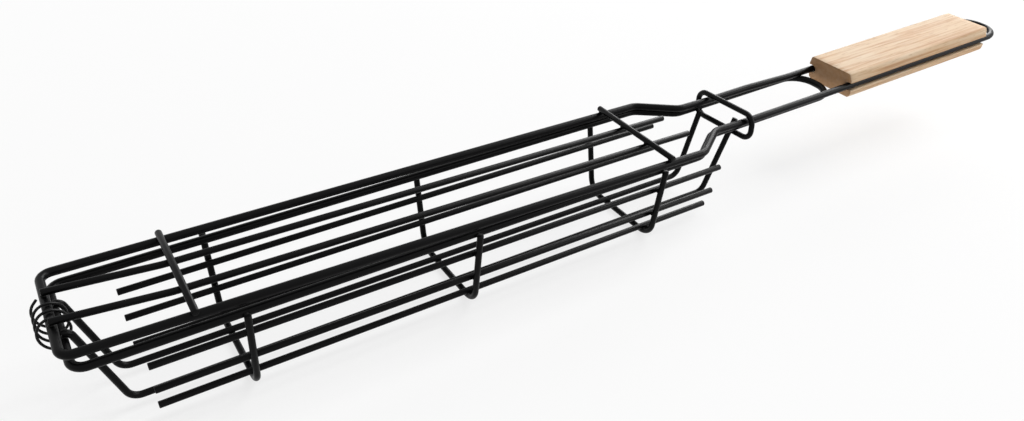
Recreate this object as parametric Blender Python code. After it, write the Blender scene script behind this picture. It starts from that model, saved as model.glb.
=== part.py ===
"""Long wire grill basket with a hinged lid, a sliding lock ring and a wooden handle.

A deep wire tray is closed by a flat wire lid. The lid frame runs on past the basket as a narrow neck
and carries the wooden handle. A loose wire coil at the front bars is the hinge. A wire ring slides
along the neck and holds the two necks together. Sizes are in millimetres until the last step.
The working frame has x = 0 at the tray's front bar, x growing towards the handle, z = 0 at the tray rim
and y = 0 on the tray's middle line. The handed-in frame is the middle of the underside of the whole.
"""
import math

import bmesh
import bpy
from mathutils import Matrix, Vector

for old in list(bpy.data.objects):
    bpy.data.objects.remove(old)

MM = 0.001

# Wire sizes and the gap left between pieces that are welded or rest on each other.
RAIL_D = 3.8
THIN_D = 3.0
COIL_D = 1.1
GAP = 0.3
RAIL_R = RAIL_D / 2
THIN_R = THIN_D / 2
COIL_R = COIL_D / 2
RAIL_TO_THIN = RAIL_R + THIN_R + GAP
THIN_TO_THIN = THIN_D + GAP

# Tray frame: one loop of thick wire, a wide rim that steps in to a neck with a rounded end.
RIM_HALF = 28.0
RIM_CORNER = 5.5
TRAY_STEP_START = 298.0
TRAY_STEP_END = 317.5
STEP_BEND = 9.0
TRAY_NECK_HALF = 13.9
TRAY_NECK_RISE = 0.0145
TRAY_END_X = 410.4
TRAY_END_BEND = 12.5

# Three bent cross wires under the tray, with sloped legs outside the rim.
CROSS_X = (63.0, 166.8, 271.7)
LEG_TOP_Z = 1.0
LEG_TOP_Y = RIM_HALF + RAIL_TO_THIN
LEG_SLOPE = 0.15
CROSS_BEND = 9.0
FLOOR_WIRE_Z = -38.1
FLOOR_WIRE_Y = TRAY_NECK_HALF - RAIL_TO_THIN - 0.2
CROSS_FLOOR_Z = FLOOR_WIRE_Z - THIN_TO_THIN

# Straight wires along the walls, fixed to the inside of the legs.
WALL_FRONT_FAR = 23.6
WALL_FRONT_NEAR = 24.3
WALL_UPPER_REAR_FAR = 312.3
WALL_UPPER_REAR_NEAR = 314.0
WALL_LOWER_REAR = 313.0
CORNER_WIRE_REAR = 311.5
WALL_UPPER_Z = -12.1
WALL_LOWER_Z_FAR = -25.6
WALL_LOWER_Z_NEAR = -27.3
CORNER_WIRE_TURN_FAR = -58.0
CORNER_WIRE_TURN_NEAR = -50.0
# Some stand a little higher at their front ends.
FAR_LOWER_LIFT = 0.6
NEAR_UPPER_LIFT = 0.9
NEAR_LOWER_LIFT = 1.8
NEAR_CORNER_LIFT = 0.3

# Floor wires: hooked over the front bar, along the floor and up to the neck.
FLOOR_FRONT_X = 16.3
FLOOR_REAR_FAR = 319.5
FLOOR_REAR_NEAR = 320.6
FLOOR_BEND = 6.0
HOOK_TOP_X = 2.75
HOOK_END_X = 0.3
HOOK_BEND = 3.3
REAR_LEAN_FAR = 0.303
REAR_LEAN_NEAR = 0.425
REAR_TOP_FAR = 0.0
REAR_TOP_NEAR = 2.6

# Lid frame: turns about its own front bar and lies a little askew, nearer to one side of the neck.
LID_BAR_X = -2.0
LID_BAR_Z = 6.77
LID_TURN = -0.008
LID_FALL = -0.00876
LID_FRONT_HALF = 27.32
LID_REAR_HALF = 28.9
LID_CORNER = 4.8
LID_STEP_START = 297.0 - LID_BAR_X
LID_STEP_END = 317.0 - LID_BAR_X
LID_NECK_HALF = 14.4
LID_NECK_X = 339.0 - LID_BAR_X
LID_NECK_RISE = 0.0225
LID_LOOP_BEND = 12.9

# Along the neck: the handle stands behind the tray's rounded nose, and the loop behind the handle.
NOSE_TO_HANDLE = 6.6
HANDLE_LENGTH = 121.9
LOOP_BEHIND = 18.0
HANDLE_FRONT = TRAY_END_X + NOSE_TO_HANDLE - LID_BAR_X
HANDLE_REAR = HANDLE_FRONT + HANDLE_LENGTH
LID_LOOP_X = HANDLE_REAR + LOOP_BEHIND

# Grip: from here the two neck wires run straight through the handle. The far one jogs in just before.
GRIP_LEAD = 21.0
GRIP_X = HANDLE_FRONT - GRIP_LEAD
GRIP_MIDDLE_Y = -0.95
GRIP_HALF = 13.45
GRIP_TURN = 0.0065
GRIP_BEND = 60.0
FAR_JOG_LENGTH = 30.0
FAR_JOG_X = GRIP_X - FAR_JOG_LENGTH
FAR_JOG_BEND = 60.0

# Lid wires and cross bars, in the lid's own frame.
LID_WIRE_Y = 9.8
LID_WIRE_REAR_FAR = 301.5 - LID_BAR_X
LID_WIRE_REAR_NEAR = 302.6 - LID_BAR_X
LID_WIRE_UNDER = 0.35
LID_WIRE_BEND_X = 42.0 - LID_BAR_X
LID_WIRE_FRONT = -0.6
LID_WIRE_EASE = 6.0
LID_BAR_CROSS_X = (45.2 - LID_BAR_X, 274.5 - LID_BAR_X)
LID_BAR_CROSS_FAR = (28.5, 30.3)
LID_BAR_CROSS_NEAR = LID_REAR_HALF + 2.1

# Handle: a wooden block with a groove along each side for the two lid wires. Its ends slope in below.
HANDLE_END_SLOPE = 0.13
HANDLE_TOP = 7.7
HANDLE_TOP_HALF = 14.2
HANDLE_SIDE_HALF = 16.0
HANDLE_LOW = -5.8
HANDLE_LOW_HALF = 15.4
HANDLE_BOTTOM = -7.4
HANDLE_BOTTOM_HALF = 13.6
HANDLE_END_CHAMFER = 0.8
GROOVE_R = RAIL_R + GAP

# Lock ring: an upright rounded loop round both necks, hanging a little crooked.
RING_X = 338.0 - LID_BAR_X
RING_MIDDLE_Y = 1.2
RING_HALF_WIDTH = 20.3
RING_TOP = RAIL_TO_THIN + 0.45
RING_HEIGHT = 13.7
RING_BEND = 5.4
RING_ROLL = -1.9
RING_YAW = 1.4

# Hinge coil: a loose, slightly oval coil round the tray's and the lid's front bars.
COIL_TURNS = 3.42
COIL_START_Y = 7.4
COIL_PITCH = 4.8
COIL_TALL_R = 6.55
COIL_WIDE_R = 5.8
COIL_FORWARD = 1.0
COIL_START_ANGLE = 20.0
COIL_TAIL = 1.6
COIL_STEPS = 24

RAIL_SIDES = 8
THIN_SIDES = 8
COIL_SIDES = 6

# The handed-in frame's zero in the working frame: the middle of the whole, on the ground.
GROUND_Z = CROSS_FLOOR_Z - THIN_R * math.cos(math.pi / THIN_SIDES)
ORIGIN = Vector((275.189, 0.0, GROUND_Z))


def make_material(name, colour, roughness, metallic):
    """A plain surface for one kind of material."""
    material = bpy.data.materials.new(name)
    material.use_nodes = True
    shader = material.node_tree.nodes["Principled BSDF"]
    shader.inputs["Base Color"].default_value = (*colour, 1.0)
    shader.inputs["Roughness"].default_value = roughness
    shader.inputs["Metallic"].default_value = metallic
    return material


def add_object(name, verts, faces, material, parent=None):
    """One closed mesh object from points in millimetres, faces turned outwards."""
    mesh = bpy.data.meshes.new(name)
    body = bmesh.new()
    points = [body.verts.new(Vector(p) * MM) for p in verts]
    for face in faces:
        body.faces.new([points[i] for i in face])
    bmesh.ops.triangulate(body, faces=[f for f in body.faces if len(f.verts) > 4])
    bmesh.ops.recalc_face_normals(body, faces=body.faces)
    body.to_mesh(mesh)
    body.free()
    mesh.materials.append(make_material(name, *material))
    item = bpy.data.objects.new(name, mesh)
    bpy.context.scene.collection.objects.link(item)
    item.parent = parent
    return item


def add_pivot(name, place, turn_z=0.0, parent=None):
    """An empty on a joint axis that carries the pieces of one moving body."""
    pivot = bpy.data.objects.new(name, None)
    pivot.empty_display_size = 0.01
    bpy.context.scene.collection.objects.link(pivot)
    pivot.location = Vector(place) * MM
    pivot.rotation_euler = (0.0, 0.0, turn_z)
    pivot.parent = parent
    return pivot


def rounded(corners, bends, steps=6):
    """A polyline with each inner corner replaced by an arc of its own bend radius."""
    corners = [Vector(c) for c in corners]
    line = [corners[0]]
    for i, bend in enumerate(bends, start=1):
        here = corners[i]
        back = (corners[i - 1] - here).normalized()
        ahead = (corners[i + 1] - here).normalized()
        angle = back.angle(ahead)
        reach = bend / math.tan(angle / 2)
        centre = here + (back + ahead).normalized() * (bend / math.sin(angle / 2))
        first = here + back * reach - centre
        last = here + ahead * reach - centre
        sweep = math.pi - angle
        count = max(2, round(steps * sweep / (math.pi / 2)))
        for k in range(count + 1):
            t = k / count
            a = math.sin((1 - t) * sweep) / math.sin(sweep)
            b = math.sin(t * sweep) / math.sin(sweep)
            line.append(centre + first * a + last * b)
    line.append(corners[-1])
    return line


def wire(name, line, radius, flat_normal, material, sides, closed=False, parent=None):
    """A round wire along a line that lies roughly in the plane with the given normal."""
    line = [Vector(p) for p in line]
    normal = Vector(flat_normal)
    count = len(line)
    verts = []
    for i, point in enumerate(line):
        before = line[i - 1] if (closed or i > 0) else point
        after = line[(i + 1) % count] if (closed or i < count - 1) else point
        into = (point - before).normalized()
        out = (after - point).normalized()
        along = (into + out).normalized()
        side = normal.cross(along).normalized()
        up = along.cross(side)
        for k in range(sides):
            turn = 2 * math.pi * (k + 0.5) / sides
            verts.append(point + side * (radius * math.cos(turn)) + up * (radius * math.sin(turn)))
    faces = []
    for i in range(count if closed else count - 1):
        j = (i + 1) % count
        for k in range(sides):
            n = (k + 1) % sides
            faces.append((i * sides + k, i * sides + n, j * sides + n, j * sides + k))
    if not closed:
        faces.append(tuple(range(sides)))
        faces.append(tuple((count - 1) * sides + k for k in range(sides)))
    return add_object(name, verts, faces, material, parent)


def placed(points):
    """Points of the working frame in the handed-in frame."""
    return [Vector(p) - ORIGIN for p in points]


def joined_loop(far_line, near_line):
    """A closed loop from its two sides, which share their first and their last point."""
    return list(far_line) + list(reversed(near_line[1:-1]))


STEEL = ((0.012, 0.012, 0.013), 0.38, 0.0)
COIL_STEEL = ((0.02, 0.02, 0.021), 0.35, 0.2)
WOOD = ((0.68, 0.50, 0.33), 0.6, 0.0)

Z_AXIS = (0, 0, 1)
Y_AXIS = (0, 1, 0)
X_AXIS = (1, 0, 0)


def frame_side(sign, halves, steps, neck, middle_y, bends):
    """One side of a frame's line in plan, from the front bar's middle to the rear end's middle."""
    front_half, rear_half = halves
    step_start, step_end = steps
    corners = [(0, 0, 0), (0, sign * front_half, 0), (step_start, sign * rear_half, 0)]
    corners.append((step_end, neck[0][1], 0))
    corners += [(x, y, 0) for x, y in neck]
    corners.append((neck[-1][0], middle_y, 0))
    return rounded(corners, bends)


def bent_up(line, from_x, first_slope, second_slope, bend_length=12.0):
    """Gives a flat line its height: one slope, a short blend, then another slope."""
    out = []
    for i, p in enumerate(line):
        out.append(p)
        if i + 1 < len(line):
            q = line[i + 1]
            for s in (-0.5, 0.0, 0.5):
                x = from_x + s * bend_length
                if (p.x - x) * (q.x - x) < 0:
                    t = (x - p.x) / (q.x - p.x)
                    out.append(p + (q - p) * t)
    for p in out:
        past = p.x - (from_x - bend_length / 2)
        extra = 0.0
        if past > 0:
            change = second_slope - first_slope
            if past < bend_length:
                extra = change * past * past / (2 * bend_length)
            else:
                extra = change * (past - bend_length / 2)
        p.z = first_slope * p.x + extra
    return out


def lid_height(x):
    """Height of the lid frame's line above its front bar, in the lid's own frame."""
    bend = max(0.0, x - LID_NECK_X) * (LID_NECK_RISE - LID_FALL)
    return LID_FALL * x + bend


def grip_middle(x):
    """The handle's middle line in plan, in the lid's own frame."""
    return GRIP_MIDDLE_Y + GRIP_TURN * (x - GRIP_X)


# Tray frame.
tray_sides = []
for sign in (1, -1):
    neck = [(TRAY_END_X, sign * TRAY_NECK_HALF)]
    side_line = frame_side(sign, (RIM_HALF, RIM_HALF), (TRAY_STEP_START, TRAY_STEP_END), neck, 0.0,
                           [RIM_CORNER, STEP_BEND, STEP_BEND, TRAY_END_BEND])
    tray_sides.append(bent_up(side_line, TRAY_STEP_END, 0.0, TRAY_NECK_RISE))
wire("tray_frame", placed(joined_loop(*tray_sides)), RAIL_R, Z_AXIS, STEEL, RAIL_SIDES, closed=True)

# Cross wires: leg, floor, leg.
leg_foot_y = LEG_TOP_Y + LEG_SLOPE * CROSS_FLOOR_Z
leg_head_y = LEG_TOP_Y + LEG_SLOPE * LEG_TOP_Z
for name, x in zip(("front", "middle", "rear"), CROSS_X):
    corners = [
        (x, -leg_head_y, LEG_TOP_Z),
        (x, -leg_foot_y, CROSS_FLOOR_Z),
        (x, leg_foot_y, CROSS_FLOOR_Z),
        (x, leg_head_y, LEG_TOP_Z),
    ]
    line = rounded(corners, [CROSS_BEND, CROSS_BEND])
    wire("cross_wire_" + name, placed(line), THIN_R, X_AXIS, STEEL, THIN_SIDES)

# Wall and corner wires, set in from the legs by one wire and the gap.
leg_lean = math.atan(LEG_SLOPE)
wall_inset = THIN_TO_THIN / math.cos(leg_lean)
bend_centre_z = CROSS_FLOOR_Z + CROSS_BEND
bend_centre_y = LEG_TOP_Y + LEG_SLOPE * bend_centre_z - CROSS_BEND / math.cos(leg_lean)
corner_reach = CROSS_BEND - THIN_TO_THIN


def corner_place(turn_degrees):
    """Place of a corner wire on the inside of the legs' lower bend."""
    turn = math.radians(turn_degrees)
    return bend_centre_y + corner_reach * math.cos(turn), bend_centre_z + corner_reach * math.sin(turn)


def wall_place(z):
    """Place of a wall wire on the inside of the legs, at a height."""
    return LEG_TOP_Y + LEG_SLOPE * z - wall_inset, z


upper = wall_place(WALL_UPPER_Z)
lower_far = wall_place(WALL_LOWER_Z_FAR)
lower_near = wall_place(WALL_LOWER_Z_NEAR)
corner_far = corner_place(CORNER_WIRE_TURN_FAR)
corner_near = corner_place(CORNER_WIRE_TURN_NEAR)
long_wires = (
    ("wall_wire_upper_far", 1, upper, WALL_FRONT_FAR, WALL_UPPER_REAR_FAR, 0.0, LEG_SLOPE),
    ("wall_wire_upper_near", -1, upper, WALL_FRONT_NEAR, WALL_UPPER_REAR_NEAR, NEAR_UPPER_LIFT, LEG_SLOPE),
    ("wall_wire_lower_far", 1, lower_far, WALL_FRONT_FAR, WALL_LOWER_REAR, FAR_LOWER_LIFT, LEG_SLOPE),
    ("wall_wire_lower_near", -1, lower_near, WALL_FRONT_NEAR, WALL_LOWER_REAR, NEAR_LOWER_LIFT, LEG_SLOPE),
    ("corner_wire_far", 1, corner_far, WALL_FRONT_FAR, CORNER_WIRE_REAR, 0.0, 0.0),
    ("corner_wire_near", -1, corner_near, WALL_FRONT_NEAR, CORNER_WIRE_REAR, NEAR_CORNER_LIFT, 0.0),
)
for name, sign, (y, z), front_end, rear_end, lift, lean in long_wires:
    line = [(front_end, sign * (y + lean * lift), z + lift), (rear_end, sign * y, z)]
    wire(name, placed(line), THIN_R, Z_AXIS, STEEL, THIN_SIDES)

# Floor wires: hook over the front bar, leg, floor, and a leg that ends beside the neck wire.
floor_wires = (
    ("far", 1, FLOOR_REAR_FAR, REAR_LEAN_FAR, REAR_TOP_FAR),
    ("near", -1, FLOOR_REAR_NEAR, REAR_LEAN_NEAR, REAR_TOP_NEAR),
)
for side, sign, foot_x, lean, rear_top in floor_wires:
    y = sign * FLOOR_WIRE_Y
    rear_x = foot_x + lean * (rear_top - FLOOR_WIRE_Z)
    corners = [
        (HOOK_END_X, y, RAIL_TO_THIN),
        (HOOK_TOP_X, y, RAIL_TO_THIN),
        (FLOOR_FRONT_X, y, FLOOR_WIRE_Z),
        (foot_x, y, FLOOR_WIRE_Z),
        (rear_x, y, rear_top),
    ]
    line = rounded(corners, [HOOK_BEND, FLOOR_BEND, FLOOR_BEND])
    wire("floor_wire_" + side, placed(line), THIN_R, Y_AXIS, STEEL, THIN_SIDES)

# Hinge coil round both front bars. Its oval stands along the line from bar to bar.
bar_to_bar = Vector((LID_BAR_X, 0, LID_BAR_Z)).normalized()
forward = Vector((-bar_to_bar.z, 0, bar_to_bar.x))
coil_middle = Vector((LID_BAR_X / 2, 0, LID_BAR_Z / 2)) + forward * COIL_FORWARD
coil_line = []
for i in range(round(COIL_TURNS * COIL_STEPS) + 1):
    turn = math.radians(COIL_START_ANGLE) + 2 * math.pi * i / COIL_STEPS
    oval = bar_to_bar * (COIL_TALL_R * math.cos(turn)) + forward * (COIL_WIDE_R * math.sin(turn))
    coil_line.append(coil_middle + oval + Vector((0, COIL_START_Y - COIL_PITCH * i / COIL_STEPS, 0)))
first_way = (coil_line[0] - coil_line[1]).normalized()
last_way = (coil_line[-1] - coil_line[-2]).normalized()
coil_line.insert(0, coil_line[0] + first_way * COIL_TAIL)
coil_line.append(coil_line[-1] + last_way * COIL_TAIL)
to_tray_bar = min(math.hypot(p.x, p.z) for p in coil_line)
to_lid_bar = min(math.hypot(p.x - LID_BAR_X, p.z - LID_BAR_Z) for p in coil_line)
print("hinge coil: least gap to a bar %.2f mm" % (min(to_tray_bar, to_lid_bar) - RAIL_R - COIL_R))
half_turn = COIL_STEPS // 2
to_itself = min((p - q).length for i, p in enumerate(coil_line) for q in coil_line[i + half_turn:])
print("hinge coil: least gap to itself %.2f mm" % (to_itself - COIL_D))
wire("hinge_coil", placed(coil_line), COIL_R, Y_AXIS, COIL_STEEL, COIL_SIDES)

# Lid: everything below is in the lid's own frame, which turns about its front bar.
lid_pivot = add_pivot("lid_pivot", Vector((LID_BAR_X, 0, LID_BAR_Z)) - ORIGIN, LID_TURN)
far_neck = [
    (FAR_JOG_X, LID_NECK_HALF),
    (GRIP_X, grip_middle(GRIP_X) + GRIP_HALF),
    (LID_LOOP_X, grip_middle(LID_LOOP_X) + GRIP_HALF),
]
near_neck = [
    (GRIP_X, grip_middle(GRIP_X) - GRIP_HALF),
    (LID_LOOP_X, grip_middle(LID_LOOP_X) - GRIP_HALF),
]
front_bends = [LID_CORNER, STEP_BEND, STEP_BEND]
lid_sides = []
for sign, neck, neck_bends in ((1, far_neck, [FAR_JOG_BEND, FAR_JOG_BEND]), (-1, near_neck, [GRIP_BEND])):
    side_line = frame_side(sign, (LID_FRONT_HALF, LID_REAR_HALF), (LID_STEP_START, LID_STEP_END), neck,
                           grip_middle(LID_LOOP_X), front_bends + neck_bends + [LID_LOOP_BEND])
    lid_sides.append(bent_up(side_line, LID_NECK_X, LID_FALL, LID_NECK_RISE))
wire("lid_frame", joined_loop(*lid_sides), RAIL_R, Z_AXIS, STEEL, RAIL_SIDES, closed=True, parent=lid_pivot)

for side, sign, rear_end in (("far", 1, LID_WIRE_REAR_FAR), ("near", -1, LID_WIRE_REAR_NEAR)):
    y = sign * LID_WIRE_Y
    ease_x = LID_WIRE_BEND_X - LID_WIRE_EASE
    line = [
        (LID_WIRE_FRONT, y, RAIL_TO_THIN + 0.1),
        (RAIL_R, y, RAIL_TO_THIN - 0.02),
        (ease_x, y, lid_height(ease_x) + LID_WIRE_UNDER + 0.4),
        (LID_WIRE_BEND_X, y, lid_height(LID_WIRE_BEND_X) + LID_WIRE_UNDER),
        (rear_end, y, lid_height(rear_end) + LID_WIRE_UNDER),
    ]
    wire("lid_wire_" + side, line, THIN_R, Y_AXIS, STEEL, THIN_SIDES, parent=lid_pivot)

for name, x, far_end in zip(("front", "rear"), LID_BAR_CROSS_X, LID_BAR_CROSS_FAR):
    z = lid_height(x) + RAIL_TO_THIN
    line = [(x, -LID_BAR_CROSS_NEAR, z), (x, far_end, z)]
    wire("lid_cross_bar_" + name, line, THIN_R, X_AXIS, STEEL, THIN_SIDES, parent=lid_pivot)

# Handle: the same outline at four places along its length, the two end ones a little smaller.
groove = []
for degrees in (90, 120, 150, 180, 210, 240, 270):
    a = math.radians(degrees)
    groove.append((GRIP_HALF + GROOVE_R * math.cos(a), GROOVE_R * math.sin(a)))
half_outline = [(HANDLE_TOP_HALF, HANDLE_TOP), (HANDLE_SIDE_HALF, GROOVE_R)] + groove + [
    (HANDLE_SIDE_HALF, -GROOVE_R), (HANDLE_LOW_HALF, HANDLE_LOW), (HANDLE_BOTTOM_HALF, HANDLE_BOTTOM)]
outline = half_outline + [(-y, z) for y, z in reversed(half_outline)]
end_scale_y = 1 - HANDLE_END_CHAMFER / HANDLE_SIDE_HALF
handle_length = HANDLE_REAR - HANDLE_FRONT
sections = (
    (0.0, end_scale_y, -HANDLE_END_SLOPE),
    (HANDLE_END_CHAMFER, 1.0, -HANDLE_END_SLOPE),
    (handle_length - HANDLE_END_CHAMFER, 1.0, HANDLE_END_SLOPE),
    (handle_length, end_scale_y, HANDLE_END_SLOPE),
)
handle_yaw = Matrix.Rotation(math.atan(GRIP_TURN), 3, "Z")
handle_turn = handle_yaw @ Matrix.Rotation(-math.atan(LID_NECK_RISE), 3, "Y")
handle_start = Vector((HANDLE_FRONT, grip_middle(HANDLE_FRONT), lid_height(HANDLE_FRONT)))
handle_verts = []
for x, scale, slope in sections:
    for y, z in outline:
        height = z if abs(z) <= GROOVE_R else z * (1 - (1 - scale) * 2)
        local = Vector((x + slope * height, y * scale, height))
        handle_verts.append(handle_start + handle_turn @ local)
size = len(outline)
handle_faces = [tuple(range(size)), tuple(range(3 * size, 4 * size))]
for s in range(3):
    for k in range(size):
        n = (k + 1) % size
        handle_faces.append((s * size + k, s * size + n, (s + 1) * size + n, (s + 1) * size + k))
add_object("wood_handle", handle_verts, handle_faces, WOOD, lid_pivot)

# Lock ring: slides along the neck, so it hangs on the lid's frame.
ring_pivot = add_pivot("ring_slide", (RING_X, RING_MIDDLE_Y, lid_height(RING_X)), parent=lid_pivot)
low = RING_TOP - RING_HEIGHT
ring_corners = [
    (0, 0, RING_TOP),
    (0, RING_HALF_WIDTH, RING_TOP),
    (0, RING_HALF_WIDTH, low),
    (0, -RING_HALF_WIDTH, low),
    (0, -RING_HALF_WIDTH, RING_TOP),
    (0, 0, RING_TOP),
]
crooked = Matrix.Rotation(math.radians(RING_YAW), 3, "Z") @ Matrix.Rotation(math.radians(RING_ROLL), 3, "X")
ring_line = [crooked @ p for p in rounded(ring_corners, [RING_BEND] * 4)[:-1]]
wire("lock_ring", ring_line, THIN_R, X_AXIS, STEEL, THIN_SIDES, closed=True, parent=ring_pivot)
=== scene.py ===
# %% [markdown]
# A long wire grill basket, dressed for its picture: a deep tray, a flat lid on a loose coil hinge, a
# lock ring on the neck and a wooden handle. The CAD part fixes every place and size. Its solids could
# be shown as they are, but they are faceted, so this script puts smooth bent wire, welds and rounded
# wood over them, then lights them and looks at them as the photograph does.

# %% Load the frame
import math

import bmesh
import bpy
from mathutils import Euler, Matrix, Vector


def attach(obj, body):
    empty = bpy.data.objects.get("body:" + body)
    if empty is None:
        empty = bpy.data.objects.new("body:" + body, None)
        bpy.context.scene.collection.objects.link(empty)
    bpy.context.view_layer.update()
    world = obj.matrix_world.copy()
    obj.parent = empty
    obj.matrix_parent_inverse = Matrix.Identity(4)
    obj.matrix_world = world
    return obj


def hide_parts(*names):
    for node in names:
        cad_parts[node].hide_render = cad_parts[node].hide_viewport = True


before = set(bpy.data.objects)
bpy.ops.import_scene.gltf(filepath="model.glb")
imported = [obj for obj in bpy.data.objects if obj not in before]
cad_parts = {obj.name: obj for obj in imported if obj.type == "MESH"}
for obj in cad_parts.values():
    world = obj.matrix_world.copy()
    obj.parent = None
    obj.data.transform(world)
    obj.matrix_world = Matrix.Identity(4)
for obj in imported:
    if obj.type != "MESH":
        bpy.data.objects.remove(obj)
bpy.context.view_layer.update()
MM = 0.001

# %% [markdown]
# Two gauges of wire make the basket, thick for the frames and thinner for the rest, and a fine one
# makes the hinge. Places could be measured on the loaded solids, but a facet is not a wire's middle
# line. So the script repeats the part's own driving sizes, in millimetres, and each smooth wire lies
# on the line of the solid that it replaces. The working frame starts at the tray's front bar: x runs
# to the handle, z is 0 at the rim, and y is 0 on the tray's middle line.

# %% Sizes of wires and gaps
RAIL_D = 3.8
THIN_D = 3.0
COIL_D = 1.1
GAP = 0.3
RAIL_R = RAIL_D / 2
THIN_R = THIN_D / 2
RAIL_TO_THIN = RAIL_R + THIN_R + GAP
THIN_TO_THIN = THIN_D + GAP
CROSS_FLOOR_Z = -41.4
CAD_WIRE_SIDES = 8
GROUND_Z = CROSS_FLOOR_Z - THIN_R * math.cos(math.pi / CAD_WIRE_SIDES)
ORIGIN_X = 275.189
ORIGIN = Vector((ORIGIN_X, 0.0, GROUND_Z))
print("the rim stands", round(-GROUND_Z, 1), "mm above the ground")

# %% [markdown]
# The lid turns about its front bar and lies half a degree askew, so its neck rests to the near side
# of the tray's neck. Each of its corners could be worked out in the tray's frame, but then all of
# them would carry the turn. Instead the lid's points are written as if it lay straight, and one
# matrix puts them in place.

# %% Frames of the tray and the lid
LID_BAR_X = -2.0
LID_BAR_Z = 6.77
LID_TURN = -0.008
TRAY_PLACE = Matrix.Translation(-ORIGIN)
LID_BAR = Vector((LID_BAR_X, 0, LID_BAR_Z))
LID_PLACE = Matrix.Translation(LID_BAR - ORIGIN) @ Matrix.Rotation(LID_TURN, 4, "Z")


def placed(place, points):
    """Points in millimetres of one frame, in metres of the part's frame."""
    return [(place @ Vector(p)) * MM for p in points]


print("the lid lies", round(math.degrees(LID_TURN), 2), "degrees askew")


# %% [markdown]
# A surface is a graph of nodes. It could be wired up by hand in the shader editor, but a script can
# be read and run again. Colours are written as they look on screen, in sRGB hex, and one function
# makes them linear for the shaders. One more function adds a node, sets it up and links it, so that
# each material reads as a short list of nodes.

# %% Colour and node helpers
def linear(hex_colour):
    """An sRGB hex colour as linear red, green, blue and alpha."""
    channels = [int(hex_colour[i:i + 2], 16) / 255 for i in (1, 3, 5)]
    return tuple(c / 12.92 if c <= 0.04045 else ((c + 0.055) / 1.055) ** 2.4 for c in channels) + (1.0,)


def add_node(tree, kind, settings=None, values=None, links=None):
    """One node with its settings, its unlinked socket values and its links."""
    node = tree.nodes.new(kind)
    for name, value in (settings or {}).items():
        setattr(node, name, value)
    for socket, value in (values or {}).items():
        node.inputs[socket].default_value = value
    for socket, source in (links or {}).items():
        tree.links.new(source, node.inputs[socket])
    return node


def new_material(name):
    """An empty node material and its node tree."""
    material = bpy.data.materials.new(name)
    material.use_nodes = True
    material.node_tree.nodes.clear()
    return material, material.node_tree


def set_ramp(node, stops):
    """Colours of a ramp from (position, hex) pairs."""
    ramp = node.color_ramp
    while len(ramp.elements) < len(stops):
        ramp.elements.new(0.5)
    for element, (place, colour) in zip(ramp.elements, stops):
        element.position = place
        element.color = linear(colour)


print("half grey on screen is", round(linear("#808080")[0], 3), "of white in linear light")

# %% [markdown]
# The wire is steel with a baked black non-stick coat. The coat is sprayed on and flows a little in
# the oven, so it is smooth and satin, with a faint orange-peel skin about a millimetre wide and
# slightly duller patches where it went on thin. Its roughness is usual for satin paint. Its reflection
# was turned down until the wires read as black and only strong light draws a grey line along their
# tops. The skin could be modelled, but it is far too shallow for that, so it is bump from noise. The
# hinge's thin wire has the same nodes and is a shade lighter and shinier.

# %% Black baked coating
PEEL_MM = 0.9
PEEL_STRENGTH = 0.12
PEEL_DEPTH_MM = 0.06
PATCH_MM = 14.0
FULL_COAT = 0.35
THIN_COAT = 0.75
COAT_ROUGH_LEAST = 0.28
COAT_ROUGH_MOST = 0.42


def baked_black_coating(name, base_hex, worn_hex, specular):
    """Satin black coat with orange peel and duller patches."""
    material, tree = new_material(name)
    place = add_node(tree, "ShaderNodeTexCoord").outputs["Object"]
    patches = add_node(tree, "ShaderNodeTexNoise", values={"Scale": 1 / (PATCH_MM * MM), "Detail": 3.0},
                       links={"Vector": place})
    peel = add_node(tree, "ShaderNodeTexNoise", values={"Scale": 1 / (PEEL_MM * MM), "Detail": 2.0},
                    links={"Vector": place})
    colour = add_node(tree, "ShaderNodeValToRGB", links={"Fac": patches.outputs["Fac"]})
    set_ramp(colour, [(FULL_COAT, base_hex), (THIN_COAT, worn_hex)])
    rough = add_node(tree, "ShaderNodeMapRange",
                     values={"To Min": COAT_ROUGH_LEAST, "To Max": COAT_ROUGH_MOST},
                     links={"Value": patches.outputs["Fac"]})
    skin = add_node(tree, "ShaderNodeBump",
                    values={"Strength": PEEL_STRENGTH, "Distance": PEEL_DEPTH_MM * MM},
                    links={"Height": peel.outputs["Fac"]})
    shader = add_node(tree, "ShaderNodeBsdfPrincipled", values={"Specular IOR Level": specular},
                      links={"Base Color": colour.outputs["Color"], "Roughness": rough.outputs["Result"],
                             "Normal": skin.outputs["Normal"]})
    add_node(tree, "ShaderNodeOutputMaterial", links={"Surface": shader.outputs["BSDF"]})
    return material


COATED_WIRE = baked_black_coating("baked_black_coating", "#030304", "#080808", specular=0.09)
COIL_COAT = baked_black_coating("blackened_spring_wire", "#060607", "#101011", specular=0.16)
print("coatings:", COATED_WIRE.name, COIL_COAT.name)


# %% [markdown]
# Every wire of the basket is a straight rod bent at a few places, so it is given as corners with a
# bend radius each. A curve object with a round bevel could make it, but a Geometry Nodes tree takes a
# radius for each corner and has its sizes as inputs. It rounds the corners, sweeps a circle along the
# line and closes the cut ends. The same tree makes all the wires, thick and thin, open and closed.

# %% Bent wire by Geometry Nodes
def add_sockets(tree, inputs):
    """Named inputs and the geometry output of a Geometry Nodes tree."""
    for name, kind in inputs.items():
        tree.interface.new_socket(name, in_out="INPUT", socket_type=kind)
    tree.interface.new_socket("Geometry", in_out="OUTPUT", socket_type="NodeSocketGeometry")


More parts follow.
